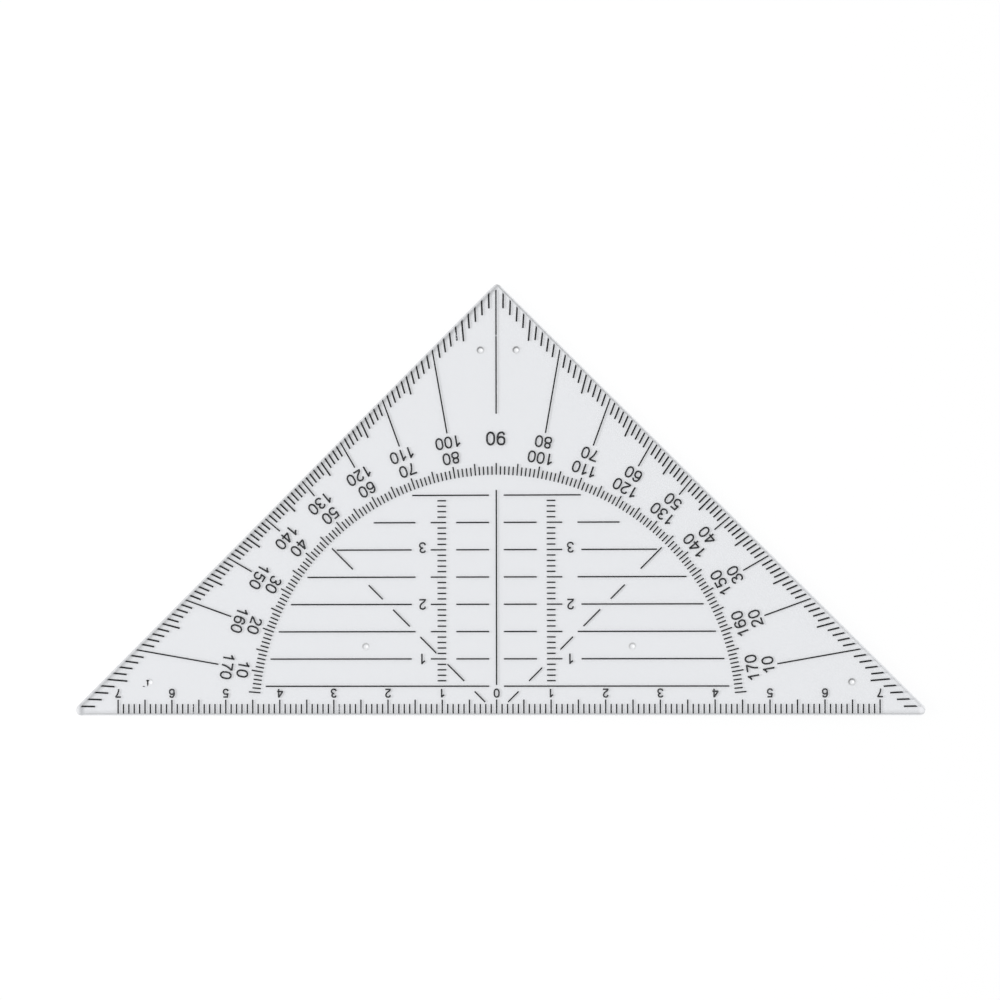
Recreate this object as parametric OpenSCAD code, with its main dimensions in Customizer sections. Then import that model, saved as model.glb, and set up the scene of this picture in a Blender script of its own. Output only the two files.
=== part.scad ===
// Protractor set square: a clear 45 degree drawing triangle with its scales
// printed on the underside. It lies on small bosses moulded under the plate,
// which keep its edges and its print off wet ink. All sizes are in millimetres.

/* [Plate] */
// Length of the long edge, between its sharp corners before they are rounded
long_edge = 158.6; // [130:0.2:240]
// Thickness of the plate
plate_t = 2; // [1.2:0.1:4]
// Radius of the three corners, seen from above
corner_r = 1; // [1:0.1:4]
// Width of the bevel round the upper edges
bevel_w = 0.12; // [0.1:0.02:0.8]
// Height of the bevel round the upper edges
bevel_h = 0.12; // [0.1:0.02:0.8]

/* [Ink bosses] */
// Height of the bosses, which is the air gap under the plate
boss_h = 0.4; // [0.2:0.05:1]
// Diameter of a boss where it meets the plate
boss_d = 1.4; // [1:0.1:2.4]
// Diameter of the flat tip of a boss
boss_tip_d = 0.6; // [0.3:0.1:0.9]
// Distance from the middle line to the bosses near the right-angled corner
top_boss_x = 3.3; // [2:0.1:8]
// Distance from the sharp right-angled corner down to those bosses
top_boss_drop = 12.4; // [10:0.1:20]
// Distance from the middle line to the bosses under the grid
mid_boss_x = 24.5; // [18:0.1:30]
// Height of those bosses above the zero line, in steps of the grid
mid_boss_step = 2.45; // [2.4:0.05:2.6]
// Distance from the sharp acute corners along the long edge to the end bosses
end_boss_run = 14.8; // [13:0.1:20]
// Distance from the long edge to the end bosses
end_boss_y = 6; // [5:0.1:8]

/* [Print] */
// Thickness of the printed ink
ink_t = 0.04; // [0.02:0.01:0.1]
// Width of the outer degree marks
outer_mark_w = 0.31; // [0.15:0.01:0.35]
// Width of all the other marks and lines
fine_mark_w = 0.26; // [0.1:0.01:0.3]
// Distance from the long edge to the zero line of the scales
print_inset = 0.3; // [0.1:0.05:0.6]
// How far the print sits to the left of the plate's middle line
print_shift = 0.3; // [0:0.05:0.5]
// Distance that the print keeps from the nearer short edge
leg_margin = 0.05; // [0:0.05:0.3]

/* [Millimetre scale] */
// Least distance from the ends of the scale to the tips of the plate
scale_end_margin = 6; // [4:0.5:7]
// Length of the 1 mm marks
mm_mark_l = 1.75; // [1:0.05:2]
// Length of the 5 mm and 10 mm marks
cm_mark_l = 2.55; // [2:0.05:2.8]

/* [Degree scales] */
// Depth of the shortest ten degree lines, measured square to the short edges
ten_line_depth = 3.45; // [3.1:0.05:4]
// Length of the 1 degree marks on the inner scale
inner_mark_l = 1.55; // [1:0.05:1.8]
// Length of the 5 degree marks on the inner scale
inner_long_mark_l = 2.15; // [1.8:0.05:3]
// Width of the ring that holds the numerals, with the inner scale
numeral_band = 8.4; // [7:0.1:9.5]
// Depth of the 1 degree marks, measured square to the short edges
outer_mark_depth = 2.15; // [1:0.05:2.4]
// Depth of the 5 degree marks, measured square to the short edges
outer_long_mark_depth = 3.1; // [2.5:0.05:3.1]

/* [Grid] */
// Spacing of the lines parallel to the long edge
grid_step = 5; // [4:0.5:8]
// Gap between the inner degree scale and the ends of the grid lines
grid_gap = 0.85; // [0.5:0.05:2]
// Distance from the middle line to the inner ends of the parallel lines
centre_gap = 1.35; // [0.8:0.05:3]
// Outer ends of the short inner lines, from the middle line
inner_line_end = 7.4; // [5:0.1:8.5]
// Inner ends of the long outer lines, from the middle line
outer_line_start = 14.9; // [14:0.1:15.3]
// How much further out those lines start where a numeral stands
numeral_gap = 0.7; // [0.2:0.1:1.5]
// How much the third line from the top stops short
third_line_cut = 1.2; // [0:0.1:3]
// How much the second line from the top stops short
second_line_cut = 2.2; // [0:0.1:4]

/* [Height scales] */
// Distance from the middle line to the height scales
height_scale_x = 9.25; // [9:0.05:9.8]
// Length of their 1 mm marks
height_mark_l = 1.6; // [1:0.05:1.8]
// Length of their 5 mm marks
height_long_mark_l = 2.85; // [2:0.05:3]

/* [Middle and diagonal lines] */
// Distance from the lowest parallel line up to the middle line
middle_line_lift = 0.2; // [0.1:0.1:2]
// Distance that the middle line keeps from both sides of the degree ring
middle_line_gap = 2.8; // [1:0.1:5]
// Gap between the middle line and the sharp right-angled corner
upper_line_gap = 1.3; // [1:0.1:4]
// Height of the first dash of the diagonals above the 1 mm marks
diagonal_lift = 0.35; // [0.3:0.05:1]
// Break in the diagonals round each parallel line that they cross
diagonal_break = 2.7; // [1:0.1:4]
// Longer break before their last dash
last_diagonal_break = 4.1; // [2:0.1:6]
// Gap between the right diagonal and the height scale that it crosses
right_diagonal_gap = 0.85; // [0.2:0.05:1.2]
// Gap between the left diagonal and the height scale that it crosses
left_diagonal_gap = 0.2; // [0.2:0.05:1.2]

/* [Hidden] */

$fn = 64;

// Outward directions of the right leg, the left leg and the long edge
right_leg_dir = 45;
left_leg_dir = 135;
long_edge_dir = 270;

// The triangle before its corners are rounded, with the long edge on y = 0
half_edge = long_edge / 2;
leg_reach = half_edge * cos(45);

// Centres of the three corner arcs, each with the directions between which
// its arc runs, in order anticlockwise from the right-angled corner
end_arc_x = half_edge - corner_r / tan(22.5);
corners = [
    [[0, half_edge - corner_r * sqrt(2)], right_leg_dir, left_leg_dir],
    [[-end_arc_x, corner_r], left_leg_dir, long_edge_dir],
    [[end_arc_x, corner_r], long_edge_dir, right_leg_dir + 360]
];

// Height of the rounded outline, which centres the part on its own box, and
// distance from the middle line to the tips of its acute corners
outline_h = half_edge - corner_r * (sqrt(2) - 1);
tip_x = end_arc_x + corner_r;
underside_z = boss_h;
top_z = boss_h + plate_t;

// Overlaps that only keep the solids and their cuts from ending flush
weld = plate_t / 2;
cut_margin = 1;

// The print has its own zero point. It stops at a line inside each leg, and
// the degree ring touches the lines that the shortest ten degree lines start on.
leg_limit = leg_reach - (print_inset + print_shift) * cos(45) - leg_margin;
ten_line_r = leg_limit - ten_line_depth;
protractor_r = ten_line_r - numeral_band;

// Each scale has a numeral at every tenth mark and a longer mark at every fifth
numeral_step = 10;
long_mark_step = 5;
scale_half = numeral_step * floor((tip_x - print_shift - scale_end_margin) / numeral_step);

// The first inner degree mark is the lowest long one that clears the millimetre scale
first_mark_y = cm_mark_l + 2 * fine_mark_w;
first_degree = long_mark_step * ceil(asin(first_mark_y / protractor_r) / long_mark_step);

// The grid ends on an arc inside the degree ring. Its top line is wide enough
// for the height scales to end on.
grid_r = protractor_r - grid_gap;
height_scale_end = height_scale_x + height_long_mark_l;
line_count = floor(sqrt(grid_r ^ 2 - height_scale_end ^ 2) / grid_step);

function toward(direction, distance) = distance * [cos(direction), sin(direction)];

// Moves things from the middle of the long edge to where the part stands
module on_long_edge() {
    translate([0, -outline_h / 2, 0])
        children();
}

// The outline of the plate: straight sides between true arcs
module plate_outline() {
    polygon([
        for (corner = corners, direction = [corner[1], corner[2]])
            corner[0] + toward(direction, corner_r)
    ]);
    for (corner = corners)
        translate(corner[0])
            circle(corner_r);
}

// What the bevel takes off, seen along the edge: x is out, y is up,
// and the origin is the sharp upper edge
module bevel_section() {
    polygon([
        [-bevel_w, 0],
        [0, -bevel_h],
        [cut_margin, -bevel_h],
        [cut_margin, cut_margin],
        [-bevel_w, cut_margin]
    ]);
}

module straight_bevel(start, end, direction) {
    middle = (start + end) / 2;
    translate([middle[0], middle[1], top_z])
        rotate([90, 0, direction])
            linear_extrude(norm(end - start), center = true)
                bevel_section();
}

module corner_bevel(corner) {
    translate([corner[0][0], corner[0][1], top_z])
        rotate(corner[1])
            rotate_extrude(angle = corner[2] - corner[1])
                translate([corner_r, 0])
                    bevel_section();
}

module bevel_round_plate() {
    for (i = [0 : 2]) {
        this = corners[i];
        next = corners[(i + 1) % 3];
        straight_bevel(
            this[0] + toward(this[2], corner_r),
            next[0] + toward(next[1], corner_r),
            this[2]
        );
        corner_bevel(this);
    }
}

// A low dome with a flat tip, cut from a ball that passes through the rims
// of its foot and of its tip
module ink_boss() {
    foot_r = boss_d / 2;
    tip_r = boss_tip_d / 2;
    ball_z = (boss_h ^ 2 + foot_r ^ 2 - tip_r ^ 2) / (2 * boss_h);
    ball_r = norm([ball_z, tip_r]);
    intersection() {
        translate([0, 0, ball_z])
            sphere(ball_r);
        cylinder(h = boss_h + min(weld, ball_z + ball_r), r = foot_r);
    }
}

module ink_bosses() {
    places = [
        [top_boss_x, half_edge - top_boss_drop],
        [mid_boss_x, print_inset + mid_boss_step * grid_step],
        [half_edge - end_boss_run, end_boss_y]
    ];
    for (place = places, side = [-1, 1])
        translate([side * place[0], place[1], 0])
            ink_boss();
}

module plate() {
    color([0.86, 0.88, 0.9, 0.5])
        on_long_edge() {
            difference() {
                translate([0, 0, underside_z])
                    linear_extrude(plate_t)
                        plate_outline();
                bevel_round_plate();
            }
            ink_bosses();
        }
}

// Ink is drawn flat, from the zero point of the scales, and lies on the
// underside of the plate
module printed() {
    color([0.08, 0.08, 0.09])
        on_long_edge()
            translate([-print_shift, print_inset, underside_z - ink_t])
                linear_extrude(ink_t)
                    children();
}

// One mark from start to end along x, centred on the x axis
module mark(start, end, width) {
    translate([start, -width / 2])
        square([end - start, width]);
}

// The same mark on both sides of the middle line
module mark_pair(start, end, width) {
    mark(start, end, width);
    mirror([1, 0])
        mark(start, end, width);
}

module millimetre_scale() {
    printed()
        for (x = [-scale_half : scale_half])
            translate([x, 0])
                rotate(90)
                    mark(0, x % long_mark_step == 0 ? cm_mark_l : mm_mark_l, fine_mark_w);
}

module inner_degree_scale() {
    printed()
        for (angle = [first_degree : 180 - first_degree]) {
            mark_l = angle % long_mark_step == 0 ? inner_long_mark_l : inner_mark_l;
            rotate(angle)
                mark(protractor_r, protractor_r + mark_l, fine_mark_w);
        }
}

// Cuts marks off along both legs and, at a well rounded corner, at its arc
module within_legs() {
    apex_y = leg_limit * sqrt(2);
    intersection() {
        children();
        polygon([[-apex_y, 0], [apex_y, 0], [0, apex_y]]);
        translate([print_shift, -print_inset])
            plate_outline();
    }
}

// Distance from the zero point, at an angle, to a line square to the nearer
// leg's direction
function leg_distance(angle, reach) =
    reach / cos(angle - (angle < 90 ? right_leg_dir : left_leg_dir));

module outer_degree_scale() {
    printed()
        within_legs()
            for (angle = [1 : 179])
                if (angle % numeral_step != 0) {
                    is_long = angle % long_mark_step == 0;
                    depth = is_long ? outer_long_mark_depth : outer_mark_depth;
                    rotate(angle)
                        mark(leg_distance(angle, leg_limit - depth), half_edge, outer_mark_w);
                }
}

module ten_degree_lines() {
    printed()
        within_legs()
            for (angle = [numeral_step : numeral_step : 180 - numeral_step])
                if (angle != 90)
                    rotate(angle)
                        mark(ten_line_r, half_edge, fine_mark_w);
}

// How much a parallel line stops short of the grid's arc
function line_cut(number) =
    number == line_count - 1 ? second_line_cut :
    number == line_count - 2 ? third_line_cut : 0;

// Distance from the middle line to the outer ends of a parallel line
function line_reach(number) =
    sqrt(grid_r ^ 2 - (number * grid_step) ^ 2) - line_cut(number);

module parallel_lines() {
    printed()
        for (number = [1 : line_count]) {
            height = number * grid_step;
            whole = number == 1 || number == line_count;
            reach = line_reach(number);
            beside_numeral = height % numeral_step == 0;
            outer_start = outer_line_start + (beside_numeral ? numeral_gap : 0);
            translate([0, height]) {
                mark_pair(centre_gap, whole ? reach : inner_line_end, fine_mark_w);
                if (!whole && reach > outer_start)
                    mark_pair(outer_start, reach, fine_mark_w);
            }
        }
}

// A millimetre scale up each side of the middle, from the lowest of the
// parallel lines to the highest
module height_scales() {
    printed()
        for (height = [ceil(grid_step) + 1 : floor(line_count * grid_step) - 1])
            translate([0, height]) {
                is_long = height % long_mark_step == 0;
                mark_end = is_long ? height_scale_end : height_scale_x + height_mark_l;
                mark_pair(height_scale_x, mark_end, fine_mark_w);
            }
}

// A diagonal breaks round a parallel line unless that line stops more than
// the diagonal's width short of it
function is_crossed(number) =
    line_reach(number) + fine_mark_w * sqrt(2) > number * grid_step;

// One dash after each parallel line that crosses, and one before the first
module diagonal(angle, scale_gap) {
    crossed = [for (number = [1 : line_count]) if (is_crossed(number)) number];
    count = len(crossed);
    crossings = [for (number = crossed) number * grid_step * sqrt(2)];
    breaks = [for (i = [1 : count]) i == count ? last_diagonal_break : diagonal_break];
    difference() {
        rotate(angle)
            for (i = [0 : count]) {
                first = (mm_mark_l + diagonal_lift) * sqrt(2);
                start = i == 0 ? first : crossings[i - 1] + breaks[i - 1] / 2;
                end = i == count ? grid_r : crossings[i] - breaks[i] / 2;
                if (end > start + fine_mark_w)
                    mark(start, end, fine_mark_w);
            }
        mark_pair(
            height_scale_x - scale_gap,
            height_scale_x + height_mark_l + scale_gap,
            2 * grid_r
        );
    }
}

module diagonal_lines() {
    printed() {
        diagonal(right_leg_dir, right_diagonal_gap);
        diagonal(left_leg_dir, left_diagonal_gap);
    }
}

module middle_line() {
    printed()
        rotate(90) {
            mark(grid_step + middle_line_lift, protractor_r - middle_line_gap, fine_mark_w);
            mark(
                ten_line_r + middle_line_gap,
                half_edge - print_inset - upper_line_gap,
                fine_mark_w
            );
        }
}

plate();
millimetre_scale();
inner_degree_scale();
outer_degree_scale();
ten_degree_lines();
parallel_lines();
height_scales();
diagonal_lines();
middle_line();
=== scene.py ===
# %% [markdown]
# # A clear protractor set square
# This lesson dresses a drawing triangle: a plate of clear moulded plastic with a ruler, a
# protractor and a grid printed in black on its underside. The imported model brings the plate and
# the printed lines at their true places. What is left to make is the light, the clear plastic
# with its polished bevels, the film of black ink, and the numerals of the scales.
#
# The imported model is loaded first, because all that follows is placed by its boxes.

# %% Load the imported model
import math

import bpy
from mathutils import Euler, Matrix, Vector


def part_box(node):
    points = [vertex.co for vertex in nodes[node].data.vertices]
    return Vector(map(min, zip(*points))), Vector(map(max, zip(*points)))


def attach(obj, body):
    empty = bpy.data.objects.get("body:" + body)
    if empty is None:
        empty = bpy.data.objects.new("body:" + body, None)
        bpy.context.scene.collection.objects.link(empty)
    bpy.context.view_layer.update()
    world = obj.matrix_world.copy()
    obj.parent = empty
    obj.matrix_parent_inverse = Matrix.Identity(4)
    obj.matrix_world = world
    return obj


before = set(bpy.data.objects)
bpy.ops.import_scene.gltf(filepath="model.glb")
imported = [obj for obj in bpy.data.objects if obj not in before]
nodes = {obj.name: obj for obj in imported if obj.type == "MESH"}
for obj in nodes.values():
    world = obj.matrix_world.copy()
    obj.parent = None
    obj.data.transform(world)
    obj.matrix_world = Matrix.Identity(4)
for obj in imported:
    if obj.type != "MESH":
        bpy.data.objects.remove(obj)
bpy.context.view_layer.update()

mm = 0.001
print("nodes:", sorted(nodes))

# %% [markdown]
# Every printed mark is counted from one zero point, at the middle of the ruler. The ruler's own
# box gives that point, and the top of the box is the underside of the plate, where the ink sits.
# With these, a numeral's place can be written as it would be read off the set square: so many
# millimetres along, so many millimetres up.

# %% Find the zero point of the scales
scale_low, scale_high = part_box("millimetre_scale")
zero_point = Vector(((scale_low.x + scale_high.x) / 2, scale_low.y, 0))
underside = scale_high.z
film = scale_high.z - scale_low.z
print("zero point", tuple(zero_point), "underside", underside, "ink film", film)

# %% Measure the plate
LONG_EDGE = 158.6 * mm

half_edge = LONG_EDGE / 2
plate_low, plate_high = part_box("plate")
plate_middle = (plate_low.x + plate_high.x) / 2
print("plate from", tuple(plate_low), "to", tuple(plate_high))

# %% [markdown]
# ## Camera
# The set square was seen from almost straight above, a little from its right-hand side, through
# a long lens, so its right leg looks hardly shorter than its left one. The camera is turned to
# those few degrees and then stands back from its target along its own axis.

# %% Stand the camera over the plate
LENS = 170.53
CAMERA_TURN = (1.450, 4.603, -0.105)
CAMERA_TARGET = Vector((0.384, -0.036, 1.06)) * mm
CAMERA_DISTANCE = 0.8684

bpy.ops.object.camera_add()
camera = bpy.context.object
camera.name = "camera"
camera.rotation_euler = Euler([math.radians(turn) for turn in CAMERA_TURN])
backwards = camera.rotation_euler.to_matrix() @ Vector((0, 0, 1))
camera.location = CAMERA_TARGET + CAMERA_DISTANCE * backwards
camera.data.lens = LENS
camera.data.sensor_width = 36
bpy.context.scene.camera = camera
bpy.context.scene.view_settings.view_transform = "Standard"
print("camera at", tuple(round(place, 4) for place in camera.location))


# %% [markdown]
# ## Helpers for node materials
# A material is a small network of nodes. The first two helpers add one node with its links in a
# single call, and start a material. The others each stand for one step of a sum, so that the
# materials further down read like a list of what they are made of.

# %% Add a node and start a material
def add_node(tree, kind, settings=None, **sockets):
    """Adds a node. A socket is given a number or colour, or another node's output."""
    node = tree.nodes.new(kind)
    for name, value in (settings or {}).items():
        setattr(node, name, value)
    for name, value in sockets.items():
        by_number = name[0] == "i" and name[1:].isdigit()
        socket = node.inputs[int(name[1:]) if by_number else name.replace("_", " ")]
        if isinstance(value, bpy.types.NodeSocket):
            tree.links.new(value, socket)
        else:
            socket.default_value = value
    return node


def new_material(name):
    """An empty node material, its tree and its output node."""
    material = bpy.data.materials.new(name)
    material.use_nodes = True
    tree = material.node_tree
    tree.nodes.clear()
    return material, tree, tree.nodes.new("ShaderNodeOutputMaterial")


# %% Work with values
def combine(tree, operation, first, second):
    """What two values make together."""
    return add_node(
        tree, "ShaderNodeMath", {"operation": operation}, i0=first, i1=second
    ).outputs[0]


def either(tree, first, second):
    """The larger of two values: on where the one or the other is on."""
    return combine(tree, "MAXIMUM", first, second)


def add_up(tree, values):
    """The sum of several values, which stops at 1."""
    total = values[0]
    for value in values[1:]:
        settings = {"operation": "ADD", "use_clamp": True}
        total = add_node(tree, "ShaderNodeMath", settings, i0=total, i1=value).outputs[0]
    return total


def remap(tree, value, start, end, low=0.0, high=1.0):
    """A value that goes from low to high while the given one goes from start to end."""
    return add_node(
        tree, "ShaderNodeMapRange",
        Value=value, From_Min=start, From_Max=end, To_Min=low, To_Max=high,
    ).outputs[0]


def grey_ramp(tree, value, stops):
    """A grey that follows a value through stops of position and brightness."""
    ramp = add_node(tree, "ShaderNodeValToRGB", Fac=value)
    while len(ramp.color_ramp.elements) < len(stops):
        ramp.color_ramp.elements.new(1.0)
    for element, (position, grey) in zip(ramp.color_ramp.elements, stops):
        element.position = position
        element.color = (grey, grey, grey, 1)
    return ramp.outputs[0]


# %% Work with colours and shaders
def mix_colours(tree, share, first, second, blend="MIX"):
    """The first colour where the share is 0, and the second one blended in as it grows."""
    settings = {"data_type": "RGBA", "blend_type": blend, "clamp_factor": False}
    return add_node(tree, "ShaderNodeMix", settings, i0=share, i6=first, i7=second).outputs[2]


def mix_shaders(tree, share, first, second):
    """The first shader where the share is 0 and the second where it is 1."""
    return add_node(
        tree, "ShaderNodeMixShader", i0=share, i1=first.outputs[0], i2=second.outputs[0]
    )


# %% Work with places
def place_on_piece(tree):
    """Where a point lies, in metres from the origin."""
    return add_node(tree, "ShaderNodeTexCoord").outputs["Object"]


def change_place(tree, operation, place, other):
    """A place moved or stretched by another one."""
    return add_node(
        tree, "ShaderNodeVectorMath", {"operation": operation}, i0=place, i1=other
    ).outputs["Vector"]


def measure_place(tree, operation, place, other=(0, 0, 0)):
    """A length that is measured from one place to another."""
    return add_node(
        tree, "ShaderNodeVectorMath", {"operation": operation}, i0=place, i1=other
    ).outputs["Value"]


def seen_from_above(tree, place):
    """The same place with no height."""
    return change_place(tree, "MULTIPLY", place, (1, 1, 0))


# %% [markdown]
# Small places on the plastic and in the ink look different from the rest: a speck, a worn mark,
# a bright corner. Each is painted as an oval. The distance from its middle is stretched to its
# width and height, and a ramp of that distance says how far a point lies inside it.

# %% Paint an oval place
# An oval starts at the first share of its width and height and is full within the second
CRISP = (1.1, 0.7)
SOFT = (1.3, 0.2)


def oval_place(tree, flat, across, up, half_width, half_height, edge=CRISP):
    """1 within an oval and 0 outside it. Its middle is in millimetres from the zero point."""
    middle = (zero_point.x + across * mm, zero_point.y + up * mm, 0)
    offset = change_place(tree, "SUBTRACT", flat, middle)
    stretch = (1 / (half_width * mm), 1 / (half_height * mm), 0)
    distance = measure_place(tree, "LENGTH", change_place(tree, "MULTIPLY", offset, stretch))
    return remap(tree, distance, *edge)


# %% [markdown]
# ## Bosses
# The six small domes under the plate keep its edges and its print off wet ink. They also work
# like lenses: each one gathers the lamplight into a bright spot on the paper, to the right of
# its middle, and its own upper left side stays dark. Traced lens light would take a great many
# samples, so the spot is painted on the paper and the dark side on the plastic, both by their
# distance from the dome's middle. There are three pairs, each placed on both sides of the
# middle line.

# %% Find the bosses
# Distance of each pair from the middle line and from the long edge
TOP_PAIR = (3.3 * mm, half_edge - 12.4 * mm)
MIDDLE_PAIR = (24.5 * mm, 12.55 * mm)
END_PAIR = (half_edge - 14.8 * mm, 6 * mm)
# How much further right a boss is seen than it stands
LENS_SHIFT = 0.12 * mm

# Side of the middle line, pair and darkness of each boss
BOSSES = [
    (-1, TOP_PAIR, 0.7),
    (1, TOP_PAIR, 0.7),
    (-1, MIDDLE_PAIR, 0.4),
    (1, MIDDLE_PAIR, 0.4),
    (-1, END_PAIR, 0.2),
    (1, END_PAIR, 0.75),
]


def boss_middle(side, pair):
    """Where the middle of a boss is seen, with no height."""
    across, up = pair
    return Vector((plate_middle + side * across + LENS_SHIFT, plate_low.y + up, 0))


for side, pair, darkness in BOSSES:
    print("boss at", tuple(boss_middle(side, pair)), "darkness", darkness)


# %% Paint the look of a boss
DARK_SIDE = (-0.5, 0.87, 0)
DARK_RING = [(0.33, 0.0), (0.5, 1.0), (0.6, 1.0), (0.78, 0.0)]
DARK_FROM = -0.4 * mm
DARK_TO = 0.6 * mm
LIGHT_SIDE_SHARE = 0.2
BRIGHT_SPOT = Vector((0.19, 0.02, 0)) * mm
SPOT_RIM = 0.35 * mm
SPOT_CORE = 0.08 * mm


def dark_side(tree, flat, middle, darkness):
    """Painted shade on the plastic round one boss: a ring that is darkest on one side."""
    distance = remap(tree, measure_place(tree, "DISTANCE", flat, middle), 0.0, mm)
    ring = grey_ramp(tree, distance, DARK_RING)
    offset = change_place(tree, "SUBTRACT", flat, middle)
    toward = measure_place(tree, "DOT_PRODUCT", offset, DARK_SIDE)
    side = remap(tree, toward, DARK_FROM, DARK_TO, LIGHT_SIDE_SHARE * darkness, darkness)
    return combine(tree, "MULTIPLY", ring, side)


def bright_spot(tree, flat, middle):
    """The painted highlight on the paper where one boss gathers the lamplight."""
    distance = measure_place(tree, "DISTANCE", flat, middle + BRIGHT_SPOT)
    return remap(tree, distance, SPOT_RIM, SPOT_CORE)


# %% [markdown]
# ## Floor
# The set square lies on white paper. Paper is a plain diffuse white, and its share of glow is
# seen by the camera only, straight or through the plastic, so the background comes out white
# without more light on the object. The rest of it takes light as paper does, and so it keeps
# the soft grey shadow beside each printed line, 0.4 mm above it. Under each boss a painted
# highlight makes the paper glow a little more.

# %% Make the paper
PAPER = (0.95, 0.95, 0.95, 1)
WHITE = (1, 1, 1, 1)
PAPER_GLOW = 0.45
PAINTED_HIGHLIGHT_GLOW = 1.3

paper, tree, output = new_material("paper")
seen = add_node(tree, "ShaderNodeLightPath").outputs
looked_at = either(tree, seen["Is Camera Ray"], seen["Is Glossy Ray"])
looked_at = either(tree, looked_at, seen["Is Transmission Ray"])
flat = seen_from_above(tree, place_on_piece(tree))
# Painted highlights on the paper under the bosses
spots = add_up(
    tree, [bright_spot(tree, flat, boss_middle(side, pair)) for side, pair, darkness in BOSSES]
)
glow_share = combine(tree, "MULTIPLY", looked_at, remap(tree, spots, 0.0, 1.0, PAPER_GLOW, 1.0))
strength = remap(tree, spots, 0.0, 1.0, 1.0, PAINTED_HIGHLIGHT_GLOW)
lit = add_node(tree, "ShaderNodeBsdfDiffuse", Color=PAPER)
glow = add_node(tree, "ShaderNodeEmission", Color=WHITE, Strength=strength)
seen_paper = mix_shaders(tree, glow_share, lit, glow)
tree.links.new(seen_paper.outputs[0], output.inputs["Surface"])
print("paper made with", len(BOSSES), "bright spots")

# %% Lay the floor
FLOOR_SIZE = 4
FLOOR_DROP = 0.01 * mm

bpy.ops.mesh.primitive_plane_add(size=FLOOR_SIZE, location=(0, 0, -FLOOR_DROP))
floor = bpy.context.object
floor.name = "floor"
floor.data.materials.append(paper)
print("floor laid", FLOOR_SIZE, "m wide")

# %% [markdown]
# ## Light
# The light is soft and comes from all round, with a quarter of it from a broad lamp on the left.
# That lamp stands low enough to push the shadow of each line to the right of the line. A
# polished plate looks washed out when the ceiling is bright, because it mirrors it into the
# camera. So the surroundings are white for whatever looks at them, but the part straight
# overhead is dark in reflections.

# %% Set the surroundings
FILL_LIGHT = 0.79
CEILING_START = 0.62
CEILING_END = 0.88
CEILING_GREY = 0.02

world = bpy.data.worlds.new("studio")
bpy.context.scene.world = world
world.use_nodes = True
tree = world.node_tree
tree.nodes.clear()
output = tree.nodes.new("ShaderNodeOutputWorld")
seen = add_node(tree, "ShaderNodeLightPath").outputs
direction = add_node(tree, "ShaderNodeTexCoord").outputs["Generated"]
height = add_node(tree, "ShaderNodeSeparateXYZ", Vector=direction).outputs["Z"]
ceiling = add_node(
    tree, "ShaderNodeMapRange", {"interpolation_type": "SMOOTHSTEP"},
    Value=height, From_Min=CEILING_START, From_Max=CEILING_END, To_Min=1.0, To_Max=CEILING_GREY,
).outputs[0]
white = add_node(tree, "ShaderNodeBackground", Color=WHITE, Strength=1.0)
fill = add_node(tree, "ShaderNodeBackground", Color=WHITE, Strength=FILL_LIGHT)
mirrored = add_node(tree, "ShaderNodeBackground", Color=WHITE, Strength=ceiling)
open_sky = either(tree, seen["Is Camera Ray"], seen["Is Transmission Ray"])
around = mix_shaders(tree, seen["Is Glossy Ray"], fill, mirrored)
whole = mix_shaders(tree, open_sky, around, white)
tree.links.new(whole.outputs[0], output.inputs["Surface"])
print("surroundings set")

# %% Hang the lamp
LAMP_DISTANCE = 2.5
LAMP_LEAN = 46
LAMP_SIZE = 0.9
LAMP_POWER = 26

bpy.ops.object.light_add(type="AREA")
lamp = bpy.context.object
lamp.name = "left_lamp"
lamp.rotation_euler = Euler((0, math.radians(-LAMP_LEAN), 0))
lamp.location = lamp.rotation_euler.to_matrix() @ Vector((0, 0, LAMP_DISTANCE))
lamp.data.shape = "DISK"
lamp.data.size = LAMP_SIZE
lamp.data.energy = LAMP_POWER
print("lamp at", tuple(round(place, 3) for place in lamp.location))

# %% [markdown]
# ## Shaded edges
# Clear plastic darkens along its edges, because the side walls turn the light away that the
# middle of the plate lets through. The band is broadest along the left leg, which faces the
# lamp, and is no more than a fine grey line along the other two sides. Here it is painted into
# the plastic by its distance from each side: a dot product with the side's outward direction
# tells how far out a point lies, and a colour ramp turns the rest of the way into a grey.

# %% Describe the three sides
BAND_WIDTH = 1.6 * mm

leg_middle = Vector((half_edge / 2, plate_low.y + half_edge / 2, 0))
leg_reach = (leg_middle.x + leg_middle.y) * math.cos(math.radians(45))

# Depths in the plastic, in millimetres from each side, and the grey that is seen there
RIGHT_LEG_GREYS = [(0.15, 1.0), (0.32, 0.66), (0.5, 0.9), (0.65, 1.0)]
LEFT_LEG_GREYS = [(0.05, 1.0), (0.38, 0.64), (0.5, 0.66), (0.9, 0.92), (1.15, 1.0)]
LONG_EDGE_GREYS = [(0.0, 1.0), (0.28, 0.64), (0.45, 0.86), (1.1, 1.0)]

# Direction and reach of each side, and strength of its band at the foot and head of the plate
SIDES = {
    "right leg": (45, leg_reach, 0.55, 1.4, RIGHT_LEG_GREYS),
    "left leg": (135, leg_reach, 0.9, 1.1, LEFT_LEG_GREYS),
    "long edge": (270, -plate_low.y, 1.0, 1.0, LONG_EDGE_GREYS),
}
for name, (direction, reach, foot, head, greys) in SIDES.items():
    print(name, "faces", direction, "degrees and reaches", round(reach, 5))


# %% Paint the band along a side
def outward(direction):
    """The level direction that a side faces."""
    return (math.cos(math.radians(direction)), math.sin(math.radians(direction)), 0)


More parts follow.
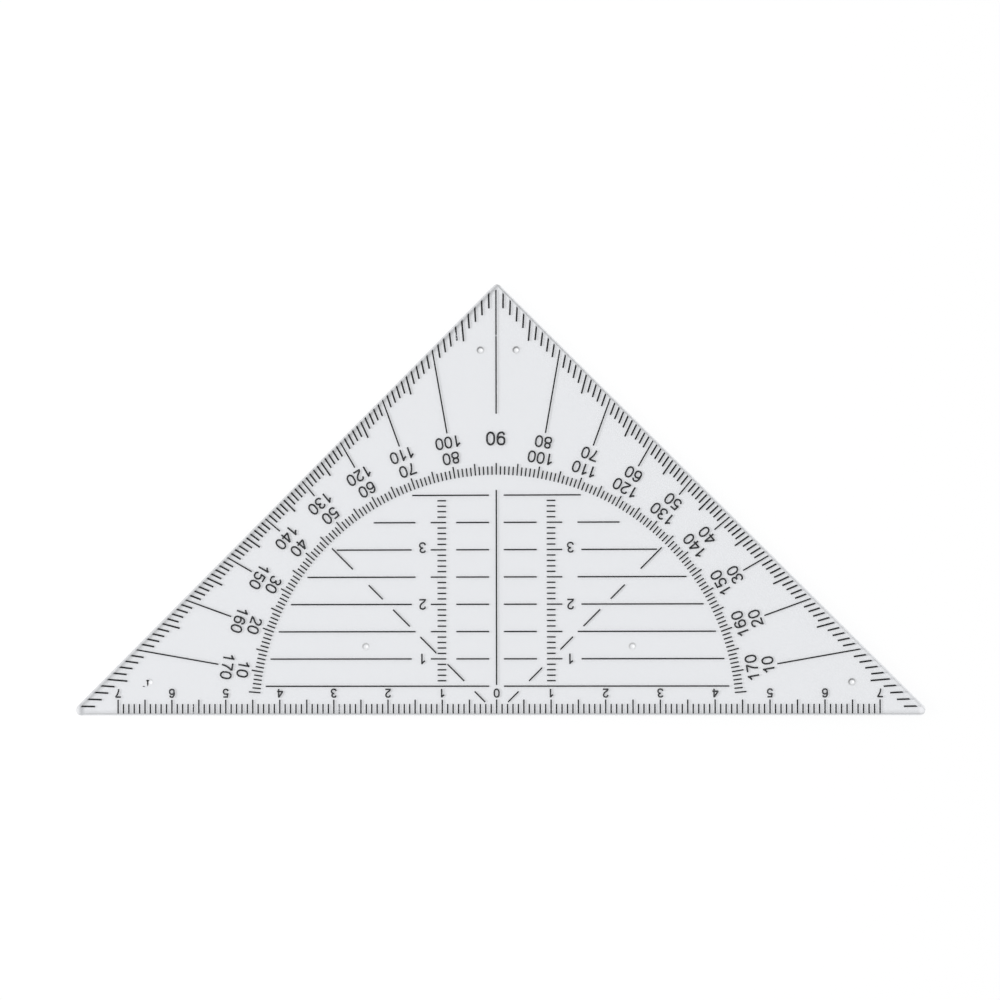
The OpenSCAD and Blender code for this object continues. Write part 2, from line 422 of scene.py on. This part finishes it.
def edge_band(tree, place, direction, reach, foot, head, greys):
    """A grey that darkens the plastic near one side of the plate."""
    across = measure_place(tree, "DOT_PRODUCT", place, outward(direction))
    inwards = remap(tree, across, reach, reach - BAND_WIDTH)
    ramp = grey_ramp(tree, inwards, [(depth * mm / BAND_WIDTH, grey) for depth, grey in greys])
    height = add_node(tree, "ShaderNodeSeparateXYZ", Vector=place).outputs["Y"]
    strength = remap(tree, height, plate_low.y, plate_high.y, foot, head)
    return mix_colours(tree, strength, WHITE, ramp)


# %% [markdown]
# ## Clear plastic
# The plate is moulded in clear plastic, polished on all its faces. Its colour is a very pale
# grey, and three things of light and shade are painted into it. Where two painted shade bands
# meet at a corner, the darker one is seen. The rounded low corners work like lenses, so both
# have a painted highlight, and a painted shade lies beside the left one.

# %% Colour the plastic
PLASTIC = (0.86, 0.87, 0.89, 1)
PAINTED_HIGHLIGHT_PLASTIC = (0.94, 0.94, 0.96, 1)
PAINTED_SHADE_PLASTIC = (0.56, 0.57, 0.59, 1)

# Middle of each painted highlight and painted shade from the zero point and half of its width and
# height, in millimetres
PAINTED_HIGHLIGHT_CORNERS = [(-77.35, 0.5, 0.6, 1.1), (77.5, 0.75, 0.5, 0.8)]
PAINTED_SHADE_CORNER = (-76.7, 0.55, 0.5, 1.3)

clear, tree, output = new_material("clear_plastic_with_painted_light")
place = place_on_piece(tree)
flat = seen_from_above(tree, place)
darkest = WHITE
# Painted shade bands along the three sides
for name, side in SIDES.items():
    darkest = mix_colours(tree, 1.0, darkest, edge_band(tree, place, *side), "DARKEN")
    print("shaded along the", name)
body = mix_colours(tree, 1.0, PLASTIC, darkest, "MULTIPLY")
# Painted highlights at both rounded low corners, and a painted shade beside the left one
bright = add_up(tree, [oval_place(tree, flat, *corner, SOFT) for corner in PAINTED_HIGHLIGHT_CORNERS])
body = mix_colours(tree, bright, body, PAINTED_HIGHLIGHT_PLASTIC)
shaded = oval_place(tree, flat, *PAINTED_SHADE_CORNER, SOFT)
body = mix_colours(tree, shaded, body, PAINTED_SHADE_PLASTIC)

# %% [markdown]
# Polished plastic is never quite even. A noise finer than a millimetre moves the roughness a
# little, as light handling does. A Principled shader with full transmission bends what is seen
# through it, so the print, which is on the underside, seems to float halfway up.

# %% Polish the plastic
PLASTIC_INDEX = 1.49
SMOOTHEST = 0.015
ROUGHEST = 0.06

wear = add_node(tree, "ShaderNodeTexNoise", Vector=place, Scale=900.0, Detail=4.0)
polish = remap(tree, wear.outputs[0], 0.45, 0.8, SMOOTHEST, ROUGHEST)
bent = add_node(
    tree, "ShaderNodeBsdfPrincipled",
    Base_Color=body, Roughness=polish, IOR=PLASTIC_INDEX, Transmission_Weight=1.0,
)
print("polish between", SMOOTHEST, "and", ROUGHEST)

# %% [markdown]
# A bent path costs a great many samples, and some paths never find their way out of a plate:
# they are trapped between its faces. So some light is let pass unbent, through a Transparent
# shader with a slight loss at each face. These are the lamplight on its way to the paper,
# three tenths of what is seen on the upright walls, and all that is seen through the domes
# of the bosses. Light that is still in the plate after three faces leaves it unbent through
# a grey, and so the walls look light grey from the side, as real ones do, and not black.

# %% Let some light pass unbent
FACE_LOSS = (0.965, 0.967, 0.972, 1)
WALL_GREY = (0.58, 0.61, 0.63, 1)
WALL_CLEARNESS = 0.3
WALL_TILT = 0.1
MOST_FACES = 2.5
DOME_START = underside - 0.01 * mm

seen = add_node(tree, "ShaderNodeLightPath").outputs
lamplight = either(tree, seen["Is Shadow Ray"], seen["Is Diffuse Ray"])
trapped = combine(tree, "GREATER_THAN", seen["Ray Depth"], MOST_FACES)
facing = add_node(tree, "ShaderNodeNewGeometry").outputs["True Normal"]
steepness = add_node(tree, "ShaderNodeSeparateXYZ", Vector=facing).outputs["Z"]
upright = add_node(
    tree, "ShaderNodeMath", {"operation": "COMPARE"}, i0=steepness, i1=0.0, i2=WALL_TILT
).outputs[0]
on_walls = combine(tree, "MULTIPLY", upright, WALL_CLEARNESS)
level = add_node(tree, "ShaderNodeSeparateXYZ", Vector=place).outputs["Z"]
on_domes = combine(tree, "LESS_THAN", level, DOME_START)
straight = either(tree, either(tree, lamplight, on_walls), either(tree, on_domes, trapped))

passing = add_node(tree, "ShaderNodeBsdfTransparent", Color=FACE_LOSS)
greyed = add_node(tree, "ShaderNodeBsdfTransparent", Color=WALL_GREY)
unbent = mix_shaders(tree, combine(tree, "GREATER_THAN", trapped, lamplight), passing, greyed)
surface = mix_shaders(tree, straight, bent, unbent)
print("unbent: lamplight, domes,", WALL_CLEARNESS, "of the walls and trapped light")

# %% [markdown]
# Two things are black on the underside: the dark side of each boss, which is painted shade, and
# some ink that has crept up against the dome near the left tip and dried there as three specks,
# which hide the light. They lie on the underside, so they are painted on its faces only, as a
# black diffuse surface.

# %% Shade the bosses and add the dried ink
DRIED_INK_AND_BOSS_SHADE = (0.004, 0.004, 0.004, 1)
UNDERSIDE_ENDS = underside + 0.1 * mm

# Middle of each speck from the zero point and half of its width and height, in millimetres
SPECKS = [(-64.52, 5.62, 0.13, 0.62), (-64.52, 6.05, 0.3, 0.17), (-65.22, 5.0, 0.22, 0.1)]

shades = [dark_side(tree, flat, boss_middle(side, pair), dark) for side, pair, dark in BOSSES]
dried = [oval_place(tree, flat, *speck) for speck in SPECKS]
below = combine(tree, "LESS_THAN", level, UNDERSIDE_ENDS)
# The painted shade of the bosses and the dried ink specks are added up
boss_shade_and_dried_ink = combine(tree, "MULTIPLY", add_up(tree, shades + dried), below)
dark = add_node(tree, "ShaderNodeBsdfDiffuse", Color=DRIED_INK_AND_BOSS_SHADE)
finished = mix_shaders(tree, boss_shade_and_dried_ink, surface, dark)
tree.links.new(finished.outputs[0], output.inputs["Surface"])
nodes["plate"].data.materials[0] = clear
print("plate dressed in", clear.name, "with", len(shades), "dark sides and", len(dried), "specks")

# %% [markdown]
# ## Printed ink
# The lines and numerals are a thin film of matt black ink. It is never quite even: the black is
# a little greyer here and there where the film ran thin, which a fine noise and a colour ramp
# give.

# %% Make the film of ink
INK = (0.006, 0.006, 0.007, 1)
THIN_INK = (0.025, 0.025, 0.027, 1)
FULL_FILM = 0.35
THIN_FILM = 0.75

ink, tree, output = new_material("printed_ink_finish")
place = place_on_piece(tree)
flat = seen_from_above(tree, place)
thickness = add_node(tree, "ShaderNodeTexNoise", Vector=place, Scale=2600.0, Detail=3.0)
shade = add_node(tree, "ShaderNodeValToRGB", Fac=thickness.outputs[0])
for stop, position, colour in zip(
    shade.color_ramp.elements, (FULL_FILM, THIN_FILM), (INK, THIN_INK)
):
    stop.position = position
    stop.color = colour
seen_ink = shade.outputs[0]
print("ink from", INK[:3], "to", THIN_INK[:3])

# %% [markdown]
# A few marks are worn into dots. The worn places are ovals round those marks, and a coarser
# noise inside them picks the dots. The line up the middle has one small break, with no dots
# left in it.

# %% Wear a few marks
WORN_INK = (0.5, 0.5, 0.51, 1)

# Middle of each worn place from the zero point and half of its width and height, in millimetres
WORN_PLACES = [
    (-29, 0.9, 0.3, 1.1),
    (-32, 0.5, 0.3, 0.4),
    (-56, 0.9, 0.3, 1.1),
    (-7.35, 69.1, 0.45, 0.9),
]
BREAK = (0, 69.3, 0.4, 0.14)

dots = add_node(tree, "ShaderNodeTexNoise", Vector=flat, Scale=2400.0, Detail=1.0)
bare = remap(tree, dots.outputs[0], 0.5, 0.56)
worn = add_up(tree, [oval_place(tree, flat, *worn_place) for worn_place in WORN_PLACES])
dotted = combine(tree, "MULTIPLY", worn, bare)
worn_off = either(tree, dotted, oval_place(tree, flat, *BREAK))
seen_ink = mix_colours(tree, worn_off, seen_ink, WORN_INK)
print("worn places:", len(WORN_PLACES), "and one break")

# %% [markdown]
# The marks along both legs end on a line parallel to the leg, and there the print turns pale
# over up to half a millimetre, most of all near the low corners. A ramp up the plate says how
# deep the fade is at each height.

# %% Fade the ends of the marks
PALE_INK = (0.8, 0.8, 0.81, 1)
# Distance from the zero point to the lines on which the marks end
PRINT_REACH = 55.6 * mm
FADE_DEPTH = 0.5 * mm
FADE_EDGE = 0.06 * mm

# Shares of the way up the plate and of the fade's depth there
FADES = {
    "right leg": [(0.0, 0.95), (0.4, 0.0), (0.78, 0.0), (0.84, 0.36)],
    "left leg": [(0.0, 0.62), (0.65, 0.1), (1.0, 0.36)],
}


def faded(tree, flat, direction, depths):
    """How pale the print turns at the outer ends of the marks along one leg."""
    from_zero = change_place(tree, "SUBTRACT", flat, (zero_point.x, zero_point.y, 0))
    across = measure_place(tree, "DOT_PRODUCT", from_zero, outward(direction))
    height = add_node(tree, "ShaderNodeSeparateXYZ", Vector=from_zero).outputs["Y"]
    depth = grey_ramp(tree, remap(tree, height, 0.0, half_edge), depths)
    end = remap(tree, depth, 0.0, 1.0, PRINT_REACH, PRINT_REACH - FADE_DEPTH)
    return remap(tree, combine(tree, "SUBTRACT", across, end), -FADE_EDGE, FADE_EDGE)


legs = [faded(tree, flat, SIDES[leg][0], depths) for leg, depths in FADES.items()]
seen_ink = mix_colours(tree, either(tree, *legs), seen_ink, PALE_INK)
print("print fades along", " and ".join(FADES))

# %% Ink the printed lines
INK_ROUGHNESS = 0.6

matt = add_node(tree, "ShaderNodeBsdfPrincipled", Base_Color=seen_ink, Roughness=INK_ROUGHNESS)
tree.links.new(matt.outputs[0], output.inputs["Surface"])
inked_nodes = [name for name in sorted(nodes) if name != "plate"]
for name in inked_nodes:
    nodes[name].data.materials[0] = ink
print("inked:", inked_nodes)


# %% [markdown]
# ## Numerals
# The numerals are plain upright figures drawn with one even stroke. Each figure is drawn one
# high, as a few pen strokes: a stroke is a curve along its middle, which is given the height
# of the ink film, turned into a mesh ribbon, and thickened sideways with a Solidify modifier.
# Where a figure has several strokes, a Boolean union makes them one closed solid.

# %% Helper to work on chosen objects only
def choose(*pieces):
    """Selects these objects and no others, and makes the first one active."""
    bpy.ops.object.select_all(action="DESELECT")
    for piece in pieces:
        piece.select_set(True)
    bpy.context.view_layer.objects.active = pieces[0]


# %% Draw one stroke of a figure
def draw_stroke(weight, points, bend, closed):
    """One pen stroke through the points, as a closed mesh of the film's height."""
    bpy.ops.object.select_all(action="DESELECT")
    bpy.ops.curve.primitive_bezier_curve_add(enter_editmode=True)
    bpy.ops.curve.select_all(action="SELECT")
    bpy.ops.curve.delete(type="VERT")
    for across, up in points:
        bpy.ops.curve.vertex_add(location=(across * mm, up * mm, 0))
    bpy.ops.curve.select_all(action="SELECT")
    bpy.ops.curve.handle_type_set(type=bend)
    if closed:
        bpy.ops.curve.cyclic_toggle()
    bpy.ops.object.mode_set(mode="OBJECT")
    stroke = bpy.context.object
    stroke.data.dimensions = "2D"
    stroke.data.fill_mode = "NONE"
    stroke.data.extrude = film / 2
    stroke.data.resolution_u = 4
    bpy.ops.object.convert(target="MESH")
    stroke = bpy.context.object
    width = stroke.modifiers.new("width", "SOLIDIFY")
    width.thickness = weight * mm
    width.offset = 0
    width.use_even_offset = True
    bpy.ops.object.modifier_apply(modifier="width")
    return stroke


# %% [markdown]
# A round figure such as 0 or the bowl of a 6 is a closed stroke. Its points lie on an oval that
# is a little squarer than an ellipse, as in most printed figures.

# %% Points of an oval
OVAL_POINTS = 8
SQUARENESS = 2.35


def oval(middle_x, middle_y, half_width, half_height):
    """Points on a slightly squared oval."""
    points = []
    for step in range(OVAL_POINTS):
        angle = 2 * math.pi * step / OVAL_POINTS
        across = math.copysign(abs(math.cos(angle)) ** (2 / SQUARENESS), math.cos(angle))
        up = math.copysign(abs(math.sin(angle)) ** (2 / SQUARENESS), math.sin(angle))
        points.append((middle_x + half_width * across, middle_y + half_height * up))
    return points


# %% [markdown]
# The figures are written down as their strokes, in shares of the figure's height. A figure's
# width, with the room it keeps on both sides, is the same for all ten. The 9 is a 6 turned
# upside down, so it needs no strokes of its own.

# %% Strokes of the figures
FIGURE_WIDTH = 0.774
FIGURE_MIDDLE = (0.385, 0.49)

six = [
    (oval(0.39, 0.325, 0.255, 0.28), "AUTOMATIC", True),
    ([(0.64, 0.75), (0.55, 0.90), (0.40, 0.94), (0.22, 0.85), (0.13, 0.57), (0.135, 0.36)],
     "AUTOMATIC", False),
]
upside_down = [
    (
        [(2 * FIGURE_MIDDLE[0] - across, 2 * FIGURE_MIDDLE[1] - up) for across, up in points],
        bend,
        closed,
    )
    for points, bend, closed in six
]
figure_strokes = {
    "0": [(oval(0.385, 0.491, 0.2665, 0.45), "AUTOMATIC", True)],
    "1": [
        ([(0.152, 0.69), (0.28, 0.755), (0.40, 0.875), (0.45, 0.95)], "AUTOMATIC", False),
        ([(0.457, 0.0), (0.457, 1.0)], "VECTOR", False),
    ],
    "2": [
        ([(0.13, 0.70), (0.20, 0.88), (0.385, 0.94), (0.57, 0.87), (0.62, 0.71), (0.56, 0.53),
          (0.40, 0.36), (0.21, 0.20), (0.12, 0.045)], "AUTOMATIC", False),
        ([(0.065, 0.058), (0.70, 0.058)], "VECTOR", False),
    ],
    "3": [
        ([(0.125, 0.76), (0.20, 0.89), (0.37, 0.94), (0.54, 0.88), (0.60, 0.745), (0.53, 0.60),
          (0.33, 0.535)], "AUTOMATIC", False),
        ([(0.33, 0.535), (0.56, 0.47), (0.655, 0.285), (0.57, 0.10), (0.37, 0.042),
          (0.20, 0.10), (0.12, 0.26)], "AUTOMATIC", False),
    ],
    "4": [
        ([(0.511, 0.0), (0.511, 0.996)], "VECTOR", False),
        ([(0.018, 0.294), (0.708, 0.294)], "VECTOR", False),
        ([(0.50, 0.97), (0.05, 0.30)], "VECTOR", False),
    ],
    "5": [
        ([(0.675, 0.925), (0.21, 0.925), (0.14, 0.50)], "VECTOR", False),
        ([(0.145, 0.50), (0.24, 0.58), (0.38, 0.60), (0.57, 0.53), (0.65, 0.32), (0.57, 0.11),
          (0.37, 0.042), (0.20, 0.10), (0.12, 0.25)], "AUTOMATIC", False),
    ],
    "6": six,
    "7": [
        ([(0.066, 0.925), (0.70, 0.925)], "VECTOR", False),
        ([(0.68, 0.925), (0.50, 0.66), (0.37, 0.35), (0.31, 0.0)], "AUTOMATIC", False),
    ],
    "8": [
        (oval(0.385, 0.74, 0.215, 0.20), "AUTOMATIC", True),
        (oval(0.385, 0.28, 0.265, 0.24), "AUTOMATIC", True),
    ],
    "9": upside_down,
}
print("figures written down:", "".join(figure_strokes))


# %% [markdown]
# Now each figure is drawn. The union modifiers are applied at once, and the loose strokes are
# deleted, so small closed meshes remain as patterns to copy from. All ten are drawn in two
# weights, because the smallest numerals need a heavier stroke to look as black as the rest.

# %% Draw the ten figures in two weights
LIGHT = 0.15
HEAVY = 0.18


def draw_figure(name, weight):
    """All strokes of a figure as one closed solid, one millimetre high."""
    parts = [draw_stroke(weight, *stroke) for stroke in figure_strokes[name]]
    figure = parts[0]
    choose(figure)
    for part in parts[1:]:
        union = figure.modifiers.new("union", "BOOLEAN")
        union.operation = "UNION"
        union.solver = "EXACT"
        union.object = part
        bpy.ops.object.modifier_apply(modifier="union")
    for part in parts[1:]:
        bpy.data.objects.remove(part)
    figure.name = "figure_" + name
    return figure


figures = {
    (name, weight): draw_figure(name, weight) for name in figure_strokes for weight in (LIGHT, HEAVY)
}
for (name, weight), figure in figures.items():
    print("figure", name, "in weight", weight, "has", len(figure.data.polygons), "faces")


# %% [markdown]
# A numeral is set by its middle point and by the direction in which its top points. The figures
# are copied side by side, moved so that the numeral's middle is at zero, scaled to its height in
# plan only, turned, and carried to their place under the plate. A pair of ones stands closer
# together than other pairs, as printers set it. All copies of one scale are joined into one
# piece, whose object stays at the origin with its place in its mesh.

# %% Helpers to set numerals
PAIR_OF_ONES = 0.09
SET_RIGHT = 0.08


def set_numeral(text, height, middle, top_angle, weight=LIGHT):
    """Copies of the figures of one numeral. The middle is in millimetres from the zero point."""
    offsets = []
    pen = 0.0
    for index in range(len(text)):
        if index > 0 and text[index - 1:index + 1] == "11":
            pen -= PAIR_OF_ONES
        offsets.append(pen)
        pen += FIGURE_WIDTH
    centre = Vector((pen / 2, 0.5, 0)) * mm
    across, up = middle
    in_film = Vector((across * mm, up * mm, underside - film / 2))
    to_print = Matrix.Translation(zero_point + in_film)
    turn = Matrix.Rotation(math.radians(top_angle - 90), 4, "Z")
    size = Matrix.Diagonal((height, height, 1, 1))
    nudge = Matrix.Translation(Vector((SET_RIGHT * mm, 0, 0)))
    copies = []
    for name, offset in zip(text, offsets):
        copy = bpy.data.objects.new("copy", figures[name, weight].data.copy())
        shift = Matrix.Translation(Vector((offset * mm, 0, 0)) - centre)
        copy.data.transform(to_print @ turn @ nudge @ size @ shift)
        bpy.context.collection.objects.link(copy)
        copies.append(copy)
    return copies


def finish_numerals(name, copies):
    """Joins the copies into one inked piece that rides with the plate."""
    choose(*copies)
    bpy.ops.object.join()
    piece = bpy.context.object
    piece.name = name
    piece.data.name = name
    piece.data.materials.clear()
    piece.data.materials.append(ink)
    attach(piece, "root")
    print(name, "has", len(piece.data.polygons), "faces")
    return piece


# %% [markdown]
# The ruler is numbered in centimetres from the zero outwards, both ways. Its numerals are upside
# down when the right-angled corner points up, because the set square is read with the long edge
# at the top. They and those of the grid are printed a trace to the right of their marks.

# %% Number the ruler
TOP_DOWN = -90
PRINTED_RIGHT = 0.08
RULER_HEIGHT = 1.6
RULER_LINE = 3.72

copies = []
for centimetre in range(-7, 8):
    middle = (10 * centimetre + PRINTED_RIGHT, RULER_LINE)
    copies += set_numeral(str(abs(centimetre)), RULER_HEIGHT, middle, TOP_DOWN, HEAVY)
finish_numerals("ruler_numerals", copies)

# %% [markdown]
# The protractor has two rows of numerals between its inner scale and the long ten-degree lines.
# The outer row counts from the right leg round to the left one and the inner row counts the
# other way. Every numeral stands on its own ray with its top towards the zero point. The right
# angle is marked once, by a larger numeral.

# %% Number the protractor
RING_HEIGHT = 2.14
NINETY_HEIGHT = 2.47
OUTER_ROW = 50.45
INNER_ROW = 47.48
NINETY_ROW = 50.37
RIGHT_ANGLE = 90


def number_row(radius, label_of):
    """Numerals on every tenth ray except the right angle."""
    copies = []
    for degree in range(10, 180, 10):
        if degree == RIGHT_ANGLE:
            continue
        ray = math.radians(degree)
        middle = (radius * math.cos(ray), radius * math.sin(ray))
        copies += set_numeral(str(label_of(degree)), RING_HEIGHT, middle, degree + 180)
    return copies


finish_numerals("outer_degree_numerals", number_row(OUTER_ROW, lambda degree: degree))
finish_numerals("inner_degree_numerals", number_row(INNER_ROW, lambda degree: 180 - degree))
ninety = set_numeral(str(RIGHT_ANGLE), NINETY_HEIGHT, (0, NINETY_ROW), TOP_DOWN)
finish_numerals("ninety_numeral", ninety)

# %% [markdown]
# The grid lines are numbered beside the height scale on both sides: 1, 2 and 3 at one, two and
# three centimetres. The 1 and the 2 are centred on their lines, and the 3 stands higher.

# %% Number the grid
GRID_HEIGHT = 1.92
GRID_COLUMN = 13.6
# How far each numeral stands above its line
LIFTS = {1: 0.0, 2: 0.0, 3: 0.39}

copies = []
for centimetre, lift in LIFTS.items():
    for side in (-1, 1):
        middle = (side * GRID_COLUMN + PRINTED_RIGHT, 10 * centimetre + lift)
        copies += set_numeral(str(centimetre), GRID_HEIGHT, middle, TOP_DOWN)
finish_numerals("grid_numerals", copies)

# %% Put the pattern figures away
for figure in figures.values():
    bpy.data.objects.remove(figure)
print("pattern figures removed:", len(figures))

# %% [markdown]
# ## End
# The last cell says that the script has run to its end.

# %% End of the script
print("end of the scene script")
